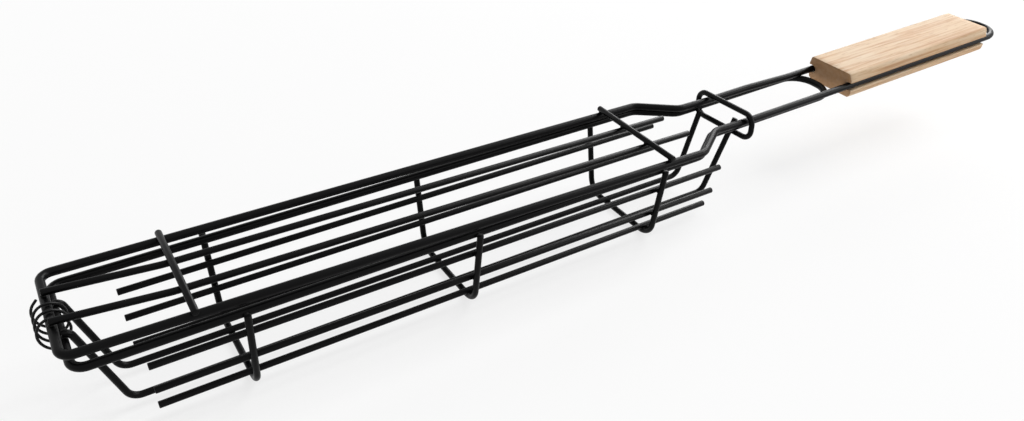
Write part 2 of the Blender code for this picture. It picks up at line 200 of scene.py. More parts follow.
def make_bent_wire_tree():
    """Corners with a bend attribute in, one solid wire out."""
    tree = bpy.data.node_groups.new("bent_wire", "GeometryNodeTree")
    add_sockets(tree, {"Geometry": "NodeSocketGeometry", "Wire Radius": "NodeSocketFloat",
                       "Bend Steps": "NodeSocketInt", "Sides": "NodeSocketInt",
                       "Coating": "NodeSocketMaterial"})
    given = add_node(tree, "NodeGroupInput").outputs
    line = add_node(tree, "GeometryNodeMeshToCurve", links={"Mesh": given["Geometry"]})
    bend = add_node(tree, "GeometryNodeInputNamedAttribute", {"data_type": "FLOAT"}, {"Name": "bend"})
    rounded = add_node(tree, "GeometryNodeFilletCurve", {"mode": "POLY"}, {"Limit Radius": True},
                       {"Curve": line.outputs["Curve"], "Count": given["Bend Steps"],
                        "Radius": bend.outputs["Attribute"]})
    circle = add_node(tree, "GeometryNodeCurvePrimitiveCircle",
                      links={"Resolution": given["Sides"], "Radius": given["Wire Radius"]})
    swept = add_node(tree, "GeometryNodeCurveToMesh", values={"Fill Caps": True},
                     links={"Curve": rounded.outputs["Curve"], "Profile Curve": circle.outputs["Curve"]})
    real = add_node(tree, "GeometryNodeRealizeInstances", links={"Geometry": swept.outputs["Mesh"]})
    coated = add_node(tree, "GeometryNodeSetMaterial",
                      links={"Geometry": real.outputs["Geometry"], "Material": given["Coating"]})
    add_node(tree, "NodeGroupOutput", links={"Geometry": coated.outputs["Geometry"]})
    return tree


BENT_WIRE = make_bent_wire_tree()
print(BENT_WIRE.name, "tree has", len(BENT_WIRE.nodes), "nodes")

# %% [markdown]
# A tree's shape lasts only as long as its modifier, and each finished piece has to be a plain mesh.
# The modifier could be applied with an operator, which needs the right selection. Here the evaluated
# object is turned into a mesh directly. Its doubles are then merged, its faces point outwards and it is
# shaded smooth. Open wires first get a narrow bevel, because a coated cut end has no sharp edge.

# %% From a tree to a plain mesh
MERGE_DISTANCE = 1e-7
SHARP_ANGLE = math.radians(50)
CUT_EDGE_ANGLE = math.radians(60)
CUT_EDGE_STEPS = 2


def link_object(name, data):
    """A new object in the scene."""
    item = bpy.data.objects.new(name, data)
    bpy.context.scene.collection.objects.link(item)
    return item


def add_cut_edge(source, width):
    """A narrow bevel round the cut ends of a wire."""
    edge = source.modifiers.new("cut_edge", "BEVEL")
    edge.width = width
    edge.segments = CUT_EDGE_STEPS
    edge.limit_method = "ANGLE"
    edge.angle_limit = CUT_EDGE_ANGLE


def clean_mesh(mesh):
    """Merges doubles, turns the faces outwards and shades them smooth between sharp edges."""
    clean = bmesh.new()
    clean.from_mesh(mesh)
    bmesh.ops.remove_doubles(clean, verts=clean.verts, dist=MERGE_DISTANCE)
    bmesh.ops.recalc_face_normals(clean, faces=clean.faces)
    clean.to_mesh(mesh)
    clean.free()
    mesh.shade_smooth()
    mesh.set_sharp_from_angle(angle=SHARP_ANGLE)


def run_tree(name, mesh, tree, values, cut_edge=0.0):
    """The plain mesh object that a Geometry Nodes tree makes from a mesh."""
    source = link_object(name + "_source", mesh)
    shape = source.modifiers.new("shape", "NODES")
    shape.node_group = tree
    for item in tree.interface.items_tree:
        if item.in_out == "INPUT" and item.name in values:
            shape[item.identifier] = values[item.name]
    if cut_edge:
        add_cut_edge(source, cut_edge)
    evaluated = source.evaluated_get(bpy.context.evaluated_depsgraph_get())
    made = bpy.data.meshes.new_from_object(evaluated)
    bpy.data.objects.remove(source)
    clean_mesh(made)
    made.name = name
    return link_object(name, made)


print("edges over", round(math.degrees(SHARP_ANGLE)), "degrees stay sharp")

# %% [markdown]
# One function now makes any wire of the basket. The bend radii could be inputs of the tree, but their
# number differs from wire to wire, so they travel with the corners as an attribute. The wire then
# rides on its body and stands for its CAD node, which is hidden.

# %% One wire of the basket
BEND_STEPS = 10
WIRE_SIDES = 24
CUT_EDGE_MM = 0.25


def bent_wire(node, body, place, corners, bends, diameter, closed=False,
              coat=COATED_WIRE):
    """One smooth wire that stands for a CAD node: corners and bend radii in millimetres."""
    mesh = bpy.data.meshes.new(node + "_line")
    count = len(corners)
    edges = [(i, (i + 1) % count) for i in range(count if closed else count - 1)]
    mesh.from_pydata(placed(place, corners), edges, [])
    bend = mesh.attributes.new("bend", "FLOAT", "POINT")
    bend.data.foreach_set("value", [r * MM for r in bends])
    piece = run_tree(node + "_wire", mesh, BENT_WIRE, {
        "Wire Radius": diameter / 2 * MM, "Bend Steps": BEND_STEPS, "Sides": WIRE_SIDES, "Coating": coat,
    }, 0.0 if closed else CUT_EDGE_MM * MM)
    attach(piece, body)
    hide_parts(node)
    print(piece.name, "has", len(piece.data.polygons), "faces")
    return piece


# %% [markdown]
# The tray's frame is one loop of thick wire. It runs round the rim, steps in behind the basket and
# ends in a rounded nose just before the handle. All its corners could be written down, but its two
# sides are alike, so half of them are, and the other half is their mirror.

# %% Tray frame
RIM_HALF = 28.0
RIM_CORNER = 5.5
TRAY_STEP_START = 298.0
TRAY_STEP_END = 317.5
STEP_BEND = 9.0
TRAY_NECK_HALF = 13.9
TRAY_NECK_RISE = 0.0145
TRAY_END_X = 410.4
TRAY_END_BEND = 12.5


def mirrored(half):
    """The near side of a far one: the same corners and bends on the other side of the middle."""
    return [((x, -y, z), bend) for (x, y, z), bend in half]


def both_sides(far, near):
    """Far corners and bends, then the near ones back to the start."""
    loop = far + near[::-1]
    return [corner for corner, bend in loop], [bend for corner, bend in loop]


tray_nose_z = (TRAY_END_X - TRAY_STEP_END) * TRAY_NECK_RISE
tray_half = [
    ((0, RIM_HALF, 0), RIM_CORNER),
    ((TRAY_STEP_START, RIM_HALF, 0), STEP_BEND),
    ((TRAY_STEP_END, TRAY_NECK_HALF, 0), STEP_BEND),
    ((TRAY_END_X, TRAY_NECK_HALF, tray_nose_z), TRAY_END_BEND),
]
tray_corners, tray_bends = both_sides(tray_half, mirrored(tray_half))
bent_wire("tray_frame", "tray", TRAY_PLACE, tray_corners, tray_bends, RAIL_D, closed=True)
print("the tray's nose rises", round(tray_nose_z, 2), "mm")

# %% [markdown]
# Three U-shaped wires carry the tray. Their legs stand outside the rim and lean in towards the
# floor, where the basket rests on them. They could be copies of one mesh, but each is a node of its
# own, so a loop makes them. One function gives a leg's line at any height, for the walls and welds too.

# %% Cross wires
CROSS_X = {"front": 63.0, "middle": 166.8, "rear": 271.7}
LEG_TOP_Z = 1.0
LEG_TOP_Y = RIM_HALF + RAIL_TO_THIN
LEG_SLOPE = 0.15
CROSS_BEND = 9.0


def leg_y(z):
    """Distance of a leg's line from the middle, at a height."""
    return LEG_TOP_Y + LEG_SLOPE * z


for name, x in CROSS_X.items():
    corners = [
        (x, -leg_y(LEG_TOP_Z), LEG_TOP_Z),
        (x, -leg_y(CROSS_FLOOR_Z), CROSS_FLOOR_Z),
        (x, leg_y(CROSS_FLOOR_Z), CROSS_FLOOR_Z),
        (x, leg_y(LEG_TOP_Z), LEG_TOP_Z),
    ]
    bent_wire("cross_wire_" + name, "tray", TRAY_PLACE, corners, [0, CROSS_BEND, CROSS_BEND, 0], THIN_D)

# %% [markdown]
# Six straight wires close the walls. They lie inside the legs, two on each wall and one in each
# lower corner. Their places could be typed in as y and z, but then they would leave the legs when a
# leg changes. So a wall wire follows the leg's slope, and a corner wire follows its lower bend.

# %% Places inside the legs
WALL_UPPER_Z = -12.1
WALL_LOWER_Z = {"far": -25.6, "near": -27.3}
CORNER_WIRE_TURN = {"far": math.radians(-58), "near": math.radians(-50)}
leg_lean = math.atan(LEG_SLOPE)
wall_inset = THIN_TO_THIN / math.cos(leg_lean)
corner_reach = CROSS_BEND - THIN_TO_THIN
bend_middle_z = CROSS_FLOOR_Z + CROSS_BEND
bend_middle_y = leg_y(bend_middle_z) - CROSS_BEND / math.cos(leg_lean)


def wall_place(z):
    """Place of a wall wire on the inside of the legs, at a height."""
    return leg_y(z) - wall_inset, z


def in_the_bend(side, reach):
    """Place at a corner wire's turn round the middle of the legs' lower bend, at a reach."""
    turn = CORNER_WIRE_TURN[side]
    return bend_middle_y + reach * math.cos(turn), bend_middle_z + reach * math.sin(turn)


print("the upper wall wires lie", round(wall_place(WALL_UPPER_Z)[0], 2), "mm from the middle")

# %% [markdown]
# Both ends of these wires are plain cuts, and in the photograph some stand a little higher at the
# front than at the rear. Each could have two end points of its own. A function gives the point of a
# wire at any x instead, because the welds need the points at the legs as well.

# %% Wall and corner wires
SIDES = {"far": 1, "near": -1}
WALL_FRONT = {"far": 23.6, "near": 24.3}
WALL_UPPER_REAR = {"far": 312.3, "near": 314.0}
WALL_LOWER_REAR = 313.0
CORNER_WIRE_REAR = 311.5
UPPER_LIFT = {"far": 0.0, "near": 0.9}
LOWER_LIFT = {"far": 0.6, "near": 1.8}
CORNER_LIFT = {"far": 0.0, "near": 0.3}


def long_wire(kind, side):
    """Place, rear end, front lift and lean of one of the six long wires."""
    if kind == "wall_wire_upper":
        return wall_place(WALL_UPPER_Z), WALL_UPPER_REAR[side], UPPER_LIFT[side], LEG_SLOPE
    if kind == "wall_wire_lower":
        return wall_place(WALL_LOWER_Z[side]), WALL_LOWER_REAR, LOWER_LIFT[side], LEG_SLOPE
    return in_the_bend(side, corner_reach), CORNER_WIRE_REAR, CORNER_LIFT[side], 0.0


def long_wire_at(kind, side, x):
    """The point of a long wire at a place along the basket."""
    (y, z), rear_end, lift, lean = long_wire(kind, side)
    lifted = lift * (rear_end - x) / (rear_end - WALL_FRONT[side])
    return x, SIDES[side] * (y + lean * lifted), z + lifted


for kind in ("wall_wire_upper", "wall_wire_lower", "corner_wire"):
    for side in SIDES:
        rear_end = long_wire(kind, side)[1]
        line = [long_wire_at(kind, side, x) for x in (WALL_FRONT[side], rear_end)]
        bent_wire(kind + "_" + side, "tray", TRAY_PLACE, line, [0, 0], THIN_D)

# %% [markdown]
# Two floor wires run the whole length. Each hooks over the tray's front bar, slants down to the
# floor and climbs again at the back, where its cut end stands beside the neck wire. The slants could
# be pieces of their own, but the real wire is one bent rod, so it is one line of five corners.

# %% Floor wires
FLOOR_WIRE_Z = CROSS_FLOOR_Z + THIN_TO_THIN
BESIDE_NECK = 0.2
FLOOR_WIRE_Y = TRAY_NECK_HALF - RAIL_TO_THIN - BESIDE_NECK
FLOOR_FRONT_X = 16.3
FLOOR_REAR_X = {"far": 319.5, "near": 320.6}
FLOOR_BEND = 6.0
HOOK_TOP_X = 2.75
HOOK_END_X = 0.3
HOOK_BEND = 3.3
REAR_LEAN = {"far": 0.303, "near": 0.425}
REAR_TOP = {"far": 0.0, "near": 2.6}


def rear_leg_x(side, z):
    """Place of a rear leg's line at a height."""
    return FLOOR_REAR_X[side] + REAR_LEAN[side] * (z - FLOOR_WIRE_Z)


for side, sign in SIDES.items():
    y = sign * FLOOR_WIRE_Y
    corners = [
        (HOOK_END_X, y, RAIL_TO_THIN),
        (HOOK_TOP_X, y, RAIL_TO_THIN),
        (FLOOR_FRONT_X, y, FLOOR_WIRE_Z),
        (FLOOR_REAR_X[side], y, FLOOR_WIRE_Z),
        (rear_leg_x(side, REAR_TOP[side]), y, REAR_TOP[side]),
    ]
    bends = [0, HOOK_BEND, FLOOR_BEND, FLOOR_BEND, 0]
    bent_wire("floor_wire_" + side, "tray", TRAY_PLACE, corners, bends, THIN_D)

# %% [markdown]
# The hinge is only a loose coil of thin wire wound round both front bars. Blender's Spiral node could
# draw it, but these loops are slightly oval, taller than wide, and stand along the slanting line from
# bar to bar. So its points come from a formula, 36 to a turn, and its ends run straight for a little.

# %% Hinge coil
COIL_TURNS = 3.42
COIL_START_Y = 7.4
COIL_PITCH = 4.8
COIL_TALL_R = 6.55
COIL_WIDE_R = 5.8
COIL_FORWARD = 1.0
COIL_START_ANGLE = math.radians(20)
COIL_TAIL = 1.6
COIL_STEPS = 36
bar_to_bar = LID_BAR.normalized()
coil_forward = Vector((-bar_to_bar.z, 0, bar_to_bar.x))
coil_middle = LID_BAR / 2 + coil_forward * COIL_FORWARD


def coil_point(step):
    """A point of the coil's line, in millimetres of the tray's frame."""
    turn = COIL_START_ANGLE + 2 * math.pi * step / COIL_STEPS
    oval = bar_to_bar * (COIL_TALL_R * math.cos(turn)) + coil_forward * (COIL_WIDE_R * math.sin(turn))
    return coil_middle + oval + Vector((0, COIL_START_Y - COIL_PITCH * step / COIL_STEPS, 0))


coil_line = [coil_point(i) for i in range(round(COIL_TURNS * COIL_STEPS) + 1)]
coil_line.insert(0, coil_line[0] + (coil_line[0] - coil_line[1]).normalized() * COIL_TAIL)
coil_line.append(coil_line[-1] + (coil_line[-1] - coil_line[-2]).normalized() * COIL_TAIL)
bent_wire("hinge_coil", "tray", TRAY_PLACE, coil_line, [0] * len(coil_line), COIL_D,
          coat=COIL_COAT)

# %% [markdown]
# From the hinge the lid falls a little towards the neck, and from the neck it rises to the handle. At
# the handle its two wires lie straight and turn slightly towards the far side. Heights could be typed
# in for each corner, but the ring, the welds and the handle lie on the same lines, so two functions
# give them at any x. The lid's x is counted from its own front bar.

# %% Lines of the lid
LID_FALL = -0.00876
LID_NECK_X = 339.0 - LID_BAR_X
LID_NECK_RISE = 0.0225
GRIP_X = 396.0 - LID_BAR_X
GRIP_MIDDLE_Y = -0.95
GRIP_HALF = 13.45
GRIP_TURN = 0.0065


def lid_z(x):
    """Height of the lid's wire line above its front bar."""
    return LID_FALL * x + max(0.0, x - LID_NECK_X) * (LID_NECK_RISE - LID_FALL)


def grip_y(x, sign):
    """Distance of a neck wire's line from the lid's middle, along the handle."""
    return GRIP_MIDDLE_Y + GRIP_TURN * (x - GRIP_X) + sign * GRIP_HALF


print("the lid's neck lies", round(-lid_z(LID_NECK_X), 2), "mm lower than its front bar")

# %% [markdown]
# The lid's frame is the second thick loop. It follows the rim, steps in beside the tray's neck,
# bends up a little and runs along both sides of the handle to close behind it as a hanging loop.
# Just before the handle its far wire jogs in. It could be mirrored whole as the tray's frame is, but
# the jog makes its two sides differ, so only the front is.

# %% Lid frame
LID_FRONT_HALF = 27.32
LID_REAR_HALF = 28.9
LID_CORNER = 4.8
LID_STEP_START = 297.0 - LID_BAR_X
LID_STEP_END = 317.0 - LID_BAR_X
LID_NECK_HALF = 14.4
LID_NECK_BEND = 300.0
LID_LOOP_X = 556.9 - LID_BAR_X
LID_LOOP_BEND = 12.9
GRIP_BEND = 60.0
FAR_JOG_X = 366.0 - LID_BAR_X
FAR_JOG_BEND = 60.0


def lid_corner(x, y, bend):
    """A corner of the lid's wire with its height and its bend radius."""
    return (x, y, lid_z(x)), bend


lid_front = [
    lid_corner(0, LID_FRONT_HALF, LID_CORNER),
    lid_corner(LID_STEP_START, LID_REAR_HALF, STEP_BEND),
    lid_corner(LID_STEP_END, LID_NECK_HALF, STEP_BEND),
    lid_corner(LID_NECK_X, LID_NECK_HALF, LID_NECK_BEND),
]
far_grip = [
    lid_corner(FAR_JOG_X, LID_NECK_HALF, FAR_JOG_BEND),
    lid_corner(GRIP_X, grip_y(GRIP_X, 1), FAR_JOG_BEND),
    lid_corner(LID_LOOP_X, grip_y(LID_LOOP_X, 1), LID_LOOP_BEND),
]
near_grip = [
    lid_corner(GRIP_X, grip_y(GRIP_X, -1), GRIP_BEND),
    lid_corner(LID_LOOP_X, grip_y(LID_LOOP_X, -1), LID_LOOP_BEND),
]
lid_corners, lid_bends = both_sides(lid_front + far_grip, mirrored(lid_front) + near_grip)
bent_wire("lid_frame", "lid", LID_PLACE, lid_corners, lid_bends, RAIL_D, closed=True)

# %% [markdown]
# Two long wires and two short bars fill the lid. The bars lie across on top. The long wires hang
# under the bars and climb onto the frame's front, where they end. A straight line to that end would
# run into the bars, so each wire bends once, just in front of them.

# %% Lid wires and bars
LID_WIRE_Y = 9.8
LID_WIRE_REAR = {"far": 301.5 - LID_BAR_X, "near": 302.6 - LID_BAR_X}
LID_WIRE_UNDER = 0.35
LID_WIRE_BEND_X = 42.0 - LID_BAR_X
LID_WIRE_BEND = 60.0
LID_WIRE_FRONT = -0.6
ON_FRONT_BAR = 0.1
LID_BAR_CROSS_X = {"front": 45.2 - LID_BAR_X, "rear": 274.5 - LID_BAR_X}
LID_BAR_CROSS_FAR = {"front": 28.5, "rear": 30.3}
LID_BAR_PAST_RAIL = 2.1
LID_BAR_CROSS_NEAR = LID_REAR_HALF + LID_BAR_PAST_RAIL
for side, sign in SIDES.items():
    y = sign * LID_WIRE_Y
    corners = [
        (LID_WIRE_FRONT, y, RAIL_TO_THIN + ON_FRONT_BAR),
        (LID_WIRE_BEND_X, y, lid_z(LID_WIRE_BEND_X) + LID_WIRE_UNDER),
        (LID_WIRE_REAR[side], y, lid_z(LID_WIRE_REAR[side]) + LID_WIRE_UNDER),
    ]
    bent_wire("lid_wire_" + side, "lid", LID_PLACE, corners, [0, LID_WIRE_BEND, 0], THIN_D)
for name, x in LID_BAR_CROSS_X.items():
    z = lid_z(x) + RAIL_TO_THIN
    line = [(x, -LID_BAR_CROSS_NEAR, z), (x, LID_BAR_CROSS_FAR[name], z)]
    bent_wire("lid_cross_bar_" + name, "lid", LID_PLACE, line, [0, 0], THIN_D)

# %% [markdown]
# The lock ring is a loop of thin wire round both necks. Slid back to the handle it clears the tray's
# nose, and the lid can swing up. It could stand square on the neck, but a loose ring hangs a little
# crooked, so its flat outline is turned by a small yaw and roll.

# %% Lock ring
RING_X = 338.0 - LID_BAR_X
RING_MIDDLE_Y = 1.2
RING_HALF_WIDTH = 20.3
RING_PLAY = 0.45
RING_TOP = RAIL_TO_THIN + RING_PLAY
RING_HEIGHT = 13.7
RING_BEND = 5.4
RING_ROLL = math.radians(-1.9)
RING_YAW = math.radians(1.4)
ring_low = RING_TOP - RING_HEIGHT
ring_corners = [
    (0, RING_HALF_WIDTH, RING_TOP),
    (0, RING_HALF_WIDTH, ring_low),
    (0, -RING_HALF_WIDTH, ring_low),
    (0, -RING_HALF_WIDTH, RING_TOP),
]
RING_PLACE = (LID_PLACE @ Matrix.Translation((RING_X, RING_MIDDLE_Y, lid_z(RING_X)))
              @ Matrix.Rotation(RING_YAW, 4, "Z") @ Matrix.Rotation(RING_ROLL, 4, "X"))
bent_wire("lock_ring", "lock_ring", RING_PLACE, ring_corners, [RING_BEND] * 4, THIN_D, closed=True)

# %% [markdown]
# Where two wires cross they are spot welded, and the coating gathers there as a small flat bead.
# The beads could be set by hand, but they repeat, so Geometry Nodes sets one on each crossing, turned
# to face from wire to wire, with a little noise so that no two are alike. The noise reads only the
# place of each point, so it is the same on every run.

# %% Weld beads by Geometry Nodes
BEAD_LUMPS_PER_METRE = 900.0
NOISE_MIDDLE = 0.5


def make_weld_tree():
    """Crossing points with a facing attribute in, weld beads out."""
    tree = bpy.data.node_groups.new("weld_beads", "GeometryNodeTree")
    add_sockets(tree, {"Geometry": "NodeSocketGeometry", "Bead Radius": "NodeSocketFloat",
                       "Flatness": "NodeSocketFloat", "Noise": "NodeSocketFloat",
                       "Coating": "NodeSocketMaterial"})
    given = add_node(tree, "NodeGroupInput").outputs
    ball = add_node(tree, "GeometryNodeMeshIcoSphere", values={"Subdivisions": 2},
                    links={"Radius": given["Bead Radius"]})
    facing = add_node(tree, "GeometryNodeInputNamedAttribute", {"data_type": "FLOAT_VECTOR"},
                      {"Name": "facing"})
    turned = add_node(tree, "FunctionNodeAlignRotationToVector", {"axis": "Z"},
                      links={"Vector": facing.outputs["Attribute"]})
    squash = add_node(tree, "ShaderNodeCombineXYZ", values={"X": 1.0, "Y": 1.0},
                      links={"Z": given["Flatness"]})
    beads = add_node(tree, "GeometryNodeInstanceOnPoints",
                     links={"Points": given["Geometry"], "Instance": ball.outputs["Mesh"],
                            "Rotation": turned.outputs["Rotation"], "Scale": squash.outputs["Vector"]})
    real = add_node(tree, "GeometryNodeRealizeInstances", links={"Geometry": beads.outputs["Instances"]})
    place = add_node(tree, "GeometryNodeInputPosition")
    lumps = add_node(tree, "ShaderNodeTexNoise", values={"Scale": BEAD_LUMPS_PER_METRE, "Detail": 1.0},
                     links={"Vector": place.outputs["Position"]})
    in_or_out = add_node(tree, "ShaderNodeMath", {"operation": "SUBTRACT"}, {1: NOISE_MIDDLE},
                         {0: lumps.outputs["Fac"]})
    much = add_node(tree, "ShaderNodeMath", {"operation": "MULTIPLY"},
                    links={0: in_or_out.outputs["Value"], 1: given["Noise"]})
    normal = add_node(tree, "GeometryNodeInputNormal")
    push = add_node(tree, "ShaderNodeVectorMath", {"operation": "SCALE"},
                    links={0: normal.outputs["Normal"], "Scale": much.outputs["Value"]})
    lumpy = add_node(tree, "GeometryNodeSetPosition",
                     links={"Geometry": real.outputs["Geometry"], "Offset": push.outputs["Vector"]})
    coated = add_node(tree, "GeometryNodeSetMaterial",
                      links={"Geometry": lumpy.outputs["Geometry"], "Material": given["Coating"]})
    add_node(tree, "NodeGroupOutput", links={"Geometry": coated.outputs["Geometry"]})
    return tree


WELD_BEADS = make_weld_tree()
print(WELD_BEADS.name, "tree has", len(WELD_BEADS.nodes), "nodes")

# %% [markdown]
# A weld is given as the two wires' middle points and the first one's share. Halfway would suit two
# like wires only. Between a thick and a thin wire the bead sits nearer to the thin one's line, where
# the two surfaces meet. All beads of one body make one piece, because they move together.

# %% One group of welds
BEAD_R = 1.25
BEAD_FLAT = 0.62
BEAD_NOISE = 0.12
THICK_THIN_SHARE = THIN_R / (THIN_R + RAIL_R)
THIN_THIN_SHARE = 0.5


def weld_beads(name, body, place, contacts):
    """Beads between pairs of wire points, facing from one to the other."""
    mesh = bpy.data.meshes.new(name + "_points")
    middles = [(Vector(a) * s + Vector(b) * (1 - s)) for a, b, s in contacts]
    mesh.from_pydata(placed(place, middles), [], [])
    facing = mesh.attributes.new("facing", "FLOAT_VECTOR", "POINT")
    turn = place.to_3x3()
    ways = [(turn @ (Vector(b) - Vector(a))).normalized() for a, b, s in contacts]
    facing.data.foreach_set("vector", [v for way in ways for v in way])
    piece = run_tree(name, mesh, WELD_BEADS, {
        "Bead Radius": BEAD_R * MM, "Flatness": BEAD_FLAT, "Noise": BEAD_NOISE * MM, "Coating": COATED_WIRE,
    })
    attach(piece, body)
    print(name, len(contacts), "beads")
    return piece


# %% [markdown]
# The tray's welds join the legs to the rim, to the wall and corner wires and to the floor wires, and
# the floor wires to the front bar and the neck. The crossings could be searched for in the meshes, but
# the wires' own functions give them exactly.

# %% Welds of the tray
HOOK_WELD_X = 0.6
REAR_WELD_Z = -0.6
inward = Vector((0, -math.cos(leg_lean), math.sin(leg_lean))) * THIN_TO_THIN
tray_contacts = []
for x in CROSS_X.values():
    for side, sign in SIDES.items():
        tray_contacts.append(((x, sign * RIM_HALF, 0), (x, sign * leg_y(0), 0), THICK_THIN_SHARE))
        for kind in ("wall_wire_upper", "wall_wire_lower"):
            point = long_wire_at(kind, side, x)
            leg = (x, point[1] - sign * inward.y, point[2] - inward.z)
            tray_contacts.append((point, leg, THIN_THIN_SHARE))
        bend_y, bend_z = in_the_bend(side, CROSS_BEND)
        corner = long_wire_at("corner_wire", side, x)
        tray_contacts.append((corner, (x, sign * bend_y, bend_z), THIN_THIN_SHARE))
        y = sign * FLOOR_WIRE_Y
        tray_contacts.append(((x, y, FLOOR_WIRE_Z), (x, y, CROSS_FLOOR_Z), THIN_THIN_SHARE))
for side, sign in SIDES.items():
    y = sign * FLOOR_WIRE_Y
    tray_contacts.append(((HOOK_WELD_X, y, 0), (HOOK_WELD_X, y, RAIL_TO_THIN), THICK_THIN_SHARE))
    rear_x = rear_leg_x(side, REAR_WELD_Z)
    neck = (rear_x, sign * TRAY_NECK_HALF, 0)
    tray_contacts.append((neck, (rear_x, y, REAR_WELD_Z), THICK_THIN_SHARE))
weld_beads("tray_weld_beads", "tray", TRAY_PLACE, tray_contacts)

# %% [markdown]
# The lid's welds join its two bars to the frame and to the long wires, and the long wires to the front
# bar. They could be part of the tray's group, but they swing with the lid, so they are a piece of
# their own.

# %% Welds of the lid
lid_contacts = []
for x in LID_BAR_CROSS_X.values():
    rail_z = lid_z(x)
    bar_z = rail_z + RAIL_TO_THIN
    wire_z = rail_z + LID_WIRE_UNDER
    rail_half = LID_FRONT_HALF + (LID_REAR_HALF - LID_FRONT_HALF) * x / LID_STEP_START
    for sign in SIDES.values():
        rail_y = sign * rail_half
        wire_y = sign * LID_WIRE_Y
        lid_contacts.append(((x, rail_y, rail_z), (x, rail_y, bar_z), THICK_THIN_SHARE))
        lid_contacts.append(((x, wire_y, wire_z), (x, wire_y, bar_z), THIN_THIN_SHARE))
for sign in SIDES.values():
    y = sign * LID_WIRE_Y
    lid_contacts.append(((0, y, 0), (0, y, RAIL_TO_THIN), THICK_THIN_SHARE))
weld_beads("lid_weld_beads", "lid", LID_PLACE, lid_contacts)

# %% [markdown]
# The handle is a block of pale hardwood, planed flat on top, with sloping sides and a groove along
# each side for the wire. A box with Boolean cuts could give it, but rounding the long edges after a
# cut is fussy. So its section is drawn as a closed outline, and a corner that a plane or sandpaper
# has rounded is replaced there by an arc.

# %% Rounded outline
ROUND_STEPS = 5


def rounded_corner(before, here, after, radius):
    """Points of the arc that replaces one corner of an outline."""
    back = (before - here).normalized()
    ahead = (after - here).normalized()
    half = back.angle(ahead) / 2
    centre = here + (back + ahead).normalized() * (radius / math.sin(half))
    first = here + back * (radius / math.tan(half)) - centre
    last = here + ahead * (radius / math.tan(half)) - centre
    sweep = math.pi - 2 * half
    arc = []
    for k in range(ROUND_STEPS + 1):
        t = k / ROUND_STEPS
        part = first * math.sin((1 - t) * sweep) + last * math.sin(t * sweep)
        arc.append(centre + part / math.sin(sweep))
    return arc


def rounded_outline(corners, radii):
    """A closed outline whose corners are arcs of the given radii, or stay sharp at nought."""
    corners = [Vector(c) for c in corners]
    out = []
    for i, radius in enumerate(radii):
        after = corners[(i + 1) % len(corners)]
        out += rounded_corner(corners[i - 1], corners[i], after, radius) if radius else [corners[i]]
    return out


print("a rounded corner has", ROUND_STEPS + 1, "points")

# %% [markdown]
# The section is a little wider than the two neck wires, so that each groove takes in a whole wire. The
# groove could be square, but a round bottom follows the wire, so it ends in a half circle. One half of
# the outline is written down, from the top to the underside, and the other half is its mirror.

# %% Handle outline
HANDLE_TOP = 7.7
HANDLE_TOP_HALF = 14.2
HANDLE_SIDE_HALF = 16.0
HANDLE_LOW = -5.8
HANDLE_LOW_HALF = 15.4
HANDLE_BOTTOM = -7.4
HANDLE_BOTTOM_HALF = 13.6
LONG_EDGE_ROUND = 1.6
BOTTOM_EDGE_ROUND = 0.8
GROOVE_R = RAIL_R + GAP
GROOVE_LIP_ROUND = 0.5
GROOVE_STEPS = 12
groove = []
for k in range(GROOVE_STEPS + 1):
    turn = math.pi / 2 + math.pi * k / GROOVE_STEPS
    groove.append((GRIP_HALF + GROOVE_R * math.cos(turn), GROOVE_R * math.sin(turn)))
above_groove = [(HANDLE_TOP_HALF, HANDLE_TOP), (HANDLE_SIDE_HALF, GROOVE_R)]
below_groove = [(HANDLE_SIDE_HALF, -GROOVE_R), (HANDLE_LOW_HALF, HANDLE_LOW),
                (HANDLE_BOTTOM_HALF, HANDLE_BOTTOM)]
half_corners = above_groove + groove + below_groove
half_radii = [LONG_EDGE_ROUND, GROOVE_LIP_ROUND] + [0] * len(groove)
half_radii += [GROOVE_LIP_ROUND, LONG_EDGE_ROUND, BOTTOM_EDGE_ROUND]
outline = rounded_outline(half_corners + [(-y, z) for y, z in reversed(half_corners)],
                          half_radii + half_radii[::-1])
print("the handle's outline has", len(outline), "points")

# %% [markdown]
# The outline is drawn out along the neck in slices, and the two ends slope in a little towards the
# underside. An extrusion would leave the ends square, so each slice shifts its points by their
# height. A bevel rounds the end edges, and the faces at the ends are marked, because end grain takes
# up more dirt and looks darker.

# %% Handle block
HANDLE_FRONT = 417.0 - LID_BAR_X
HANDLE_REAR = 538.9 - LID_BAR_X
HANDLE_END_SLOPE = 0.13
HANDLE_SLICES = 24
END_EDGE_ROUND = 0.9
END_EDGE_STEPS = 3
END_FACING = 0.75
HANDLE_SHARP_ANGLE = math.radians(35)
handle_length = HANDLE_REAR - HANDLE_FRONT
handle_start = (HANDLE_FRONT, grip_y(HANDLE_FRONT, 0), lid_z(HANDLE_FRONT))
handle_place = (LID_PLACE @ Matrix.Translation(handle_start)
                @ Matrix.Rotation(math.atan(GRIP_TURN), 4, "Z")
                @ Matrix.Rotation(-math.atan(LID_NECK_RISE), 4, "Y"))
block = bmesh.new()
slices = []
for s in range(HANDLE_SLICES + 1):
    share = s / HANDLE_SLICES
    shift = HANDLE_END_SLOPE * (2 * share - 1)
    points = [(handle_length * share + shift * z, y, z) for y, z in outline]
    slices.append([block.verts.new(p) for p in placed(handle_place, points)])
count = len(outline)
for a, b in zip(slices[:-1], slices[1:]):
    for k in range(count):
        n = (k + 1) % count
        block.faces.new((a[k], a[n], b[n], b[k]))
ends = [block.faces.new(slices[0]), block.faces.new(slices[-1])]
bmesh.ops.recalc_face_normals(block, faces=block.faces)
end_edges = [edge for end in ends for edge in end.edges]
bmesh.ops.bevel(block, geom=end_edges, offset=END_EDGE_ROUND * MM, segments=END_EDGE_STEPS, profile=0.5,
                affect="EDGES", clamp_overlap=True)
